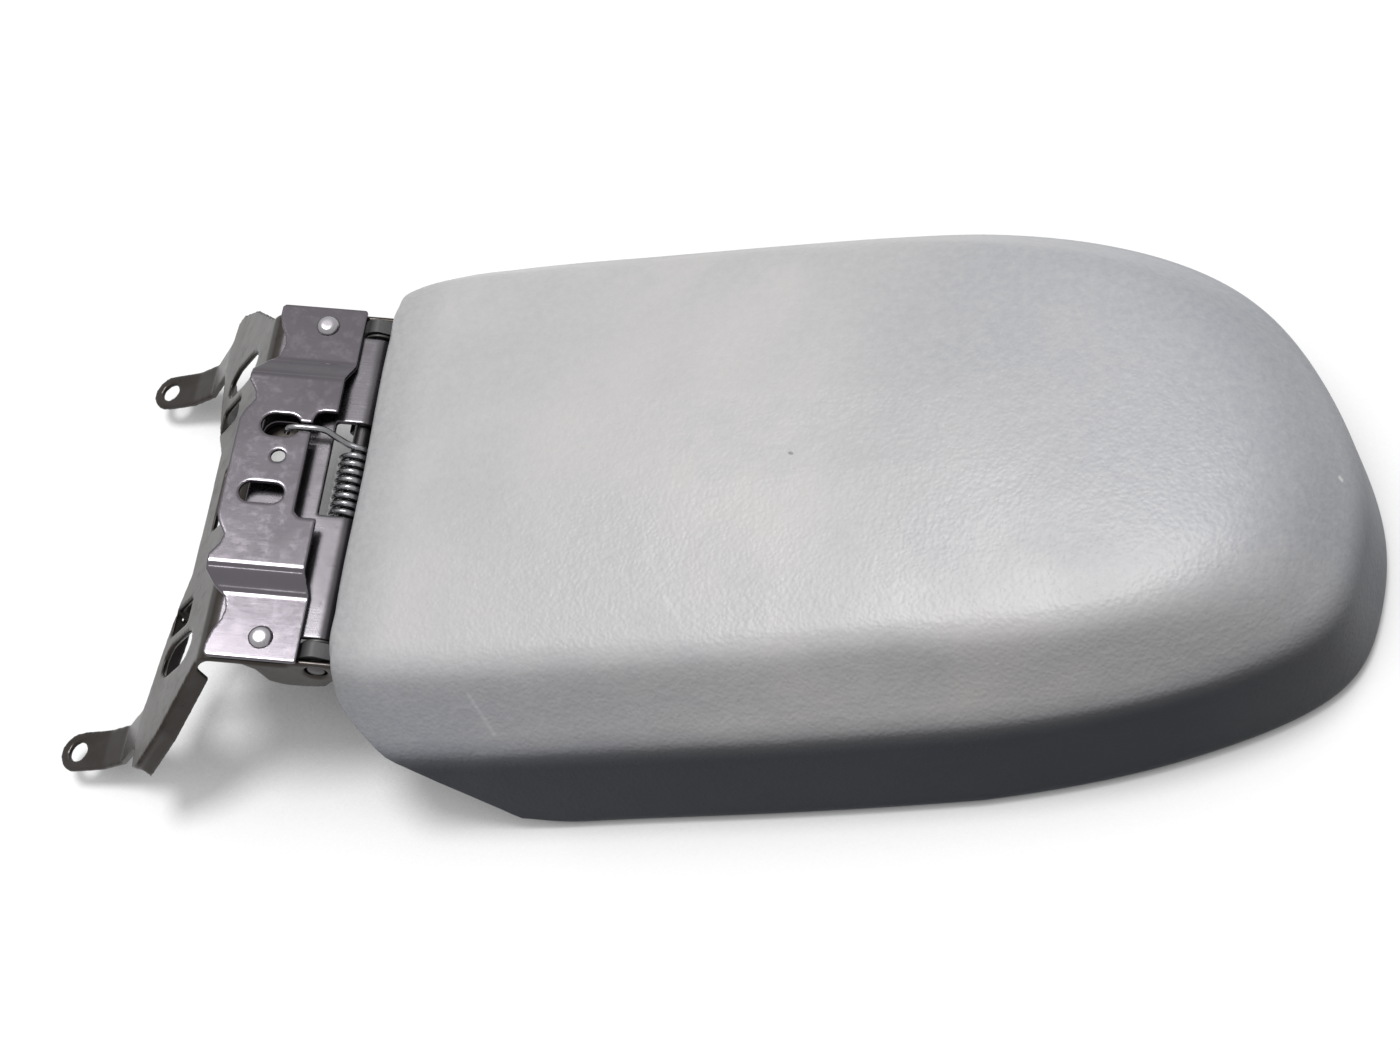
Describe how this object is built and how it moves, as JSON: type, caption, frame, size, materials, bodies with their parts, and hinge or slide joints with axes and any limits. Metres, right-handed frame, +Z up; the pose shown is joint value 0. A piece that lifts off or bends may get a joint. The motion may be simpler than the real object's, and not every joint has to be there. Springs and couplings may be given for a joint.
{
  "type": "car armrest",
  "caption": "Padded centre console armrest lid with a sprung, plated steel hinge and a stamped mounting bracket with two eyed arms.",
  "frame": {"origin": "centre of the bounding box in plan, at the height of the pad's flat underside", "axes": "+X towards the front of the pad, +Z up out of the padded top, Y across the width along the hinge pin"},
  "size_m": [0.4145, 0.1886, 0.067],
  "materials": {
    "grey_skin": "matt grained grey skin over foam",
    "black_plastic": "fine grained black",
    "liner_plastic": "textured dark grey",
    "screw_steel": "dark zinc",
    "rubber": "matt black",
    "plated_steel": "glossy dark plating",
    "bracket_steel": "dark satin plating",
    "bright_steel": "bright plating",
    "nylon": "natural nylon"
  },
  "bodies": {
    "hinge": {"mounting_bracket": "bracket_steel", "hinge_leaf": "plated_steel", "top_plate": "plated_steel", "rivet_near": "bright_steel", "rivet_far": "bright_steel", "hinge_pin": "bright_steel", "torsion_spring": "bright_steel"},
    "lid": {"armrest_pad": "grey_skin", "lid_base": "black_plastic", "lid_liner": "liner_plastic", "liner_screw_1": "screw_steel", "liner_screw_2": "screw_steel", "liner_screw_3": "screw_steel", "liner_screw_4": "screw_steel", "rubber_bumper_1": "rubber", "rubber_bumper_2": "rubber", "rubber_bumper_3": "rubber", "rubber_bumper_4": "rubber", "bush_near": "nylon", "bush_far": "nylon", "latch_pin": "bright_steel", "latch_spring": "bright_steel"},
    "latch": {"latch_lever": "black_plastic"}
  },
  "joints": [
    {"name": "lid_hinge", "type": "hinge", "parent": "hinge", "child": "lid", "pos_m": [-0.09746, 0, 0.04574], "axis": [0, 1, 0], "range_deg": [0, 70], "stiffness_Nm_per_rad": 0.6, "springref_deg": -45.84, "deforming": ["torsion_spring"]},
    {"name": "latch_pivot", "type": "hinge", "parent": "lid", "child": "latch", "pos_m": [0.1618, -0.018, 0.016], "axis": [0, 1, 0], "range_deg": [0, 14], "stiffness_Nm_per_rad": 0.05, "springref_deg": -17.19, "deforming": ["latch_spring"]}
  ]
}
